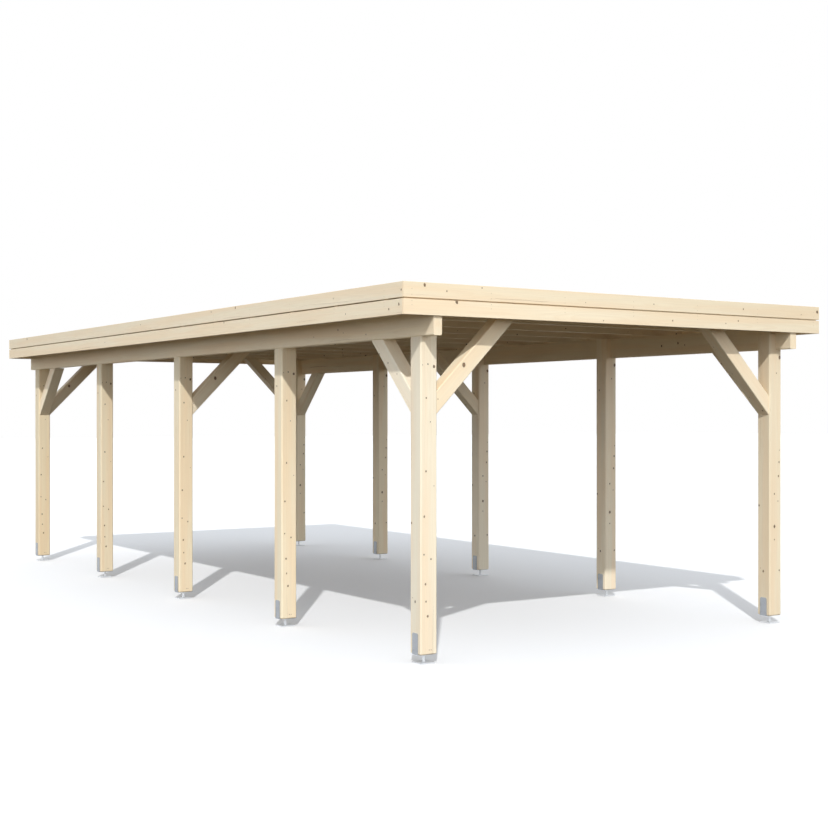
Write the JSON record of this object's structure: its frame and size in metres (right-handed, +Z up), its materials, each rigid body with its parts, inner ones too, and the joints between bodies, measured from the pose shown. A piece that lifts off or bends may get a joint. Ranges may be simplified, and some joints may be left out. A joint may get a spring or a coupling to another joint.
{
  "type": "carport",
  "caption": "Open timber carport: two rows of square posts on steel feet carry long beams, rafters and a flat boarded roof with a two-board fascia.",
  "frame": {"origin": "on the ground at the middle of the plan", "axes": "+X across the carport to the right, +Y along it from front to back, +Z up"},
  "size_m": [3.6, 7.63, 2.3],
  "materials": {
    "post_timber": "planed spruce, untreated",
    "beam_timber": "planed spruce, untreated",
    "brace_timber": "planed spruce, untreated",
    "rafter_timber": "planed spruce, untreated",
    "fascia_timber": "planed spruce boards, untreated",
    "roof_board_timber": "tongued and grooved spruce boards, untreated",
    "roofing_felt": "mineral-faced bitumen felt, matt",
    "galvanised_steel": "hot-dip galvanised, satin"
  },
  "bodies": {
    "root": {"across_brace_left_1": "brace_timber", "across_brace_left_3": "brace_timber", "across_brace_left_5": "brace_timber", "across_brace_right_1": "brace_timber", "across_brace_right_3": "brace_timber", "across_brace_right_5": "brace_timber", "along_brace_left_back": "brace_timber", "along_brace_left_front": "brace_timber", "along_brace_right_back": "brace_timber", "along_brace_right_front": "brace_timber", "beam_left": "beam_timber", "beam_right": "beam_timber", "end_rafters": "rafter_timber", "fascia_back_lower": "fascia_timber", "fascia_back_upper": "fascia_timber", "fascia_front_lower": "fascia_timber", "fascia_front_upper": "fascia_timber", "fascia_left_lower": "fascia_timber", "fascia_left_upper": "fascia_timber", "fascia_right_lower": "fascia_timber", "fascia_right_upper": "fascia_timber", "foot_left_1": "galvanised_steel", "foot_left_2": "galvanised_steel", "foot_left_3": "galvanised_steel", "foot_left_4": "galvanised_steel", "foot_left_5": "galvanised_steel", "foot_right_1": "galvanised_steel", "foot_right_2": "galvanised_steel", "foot_right_3": "galvanised_steel", "foot_right_4": "galvanised_steel", "foot_right_5": "galvanised_steel", "post_left_1": "post_timber", "post_left_2": "post_timber", "post_left_3": "post_timber", "post_left_4": "post_timber", "post_left_5": "post_timber", "post_right_1": "post_timber", "post_right_2": "post_timber", "post_right_3": "post_timber", "post_right_4": "post_timber", "post_right_5": "post_timber", "rafters": "rafter_timber", "roof_boards": "roof_board_timber", "roof_felt": "roofing_felt"}
  },
  "joints": []
}
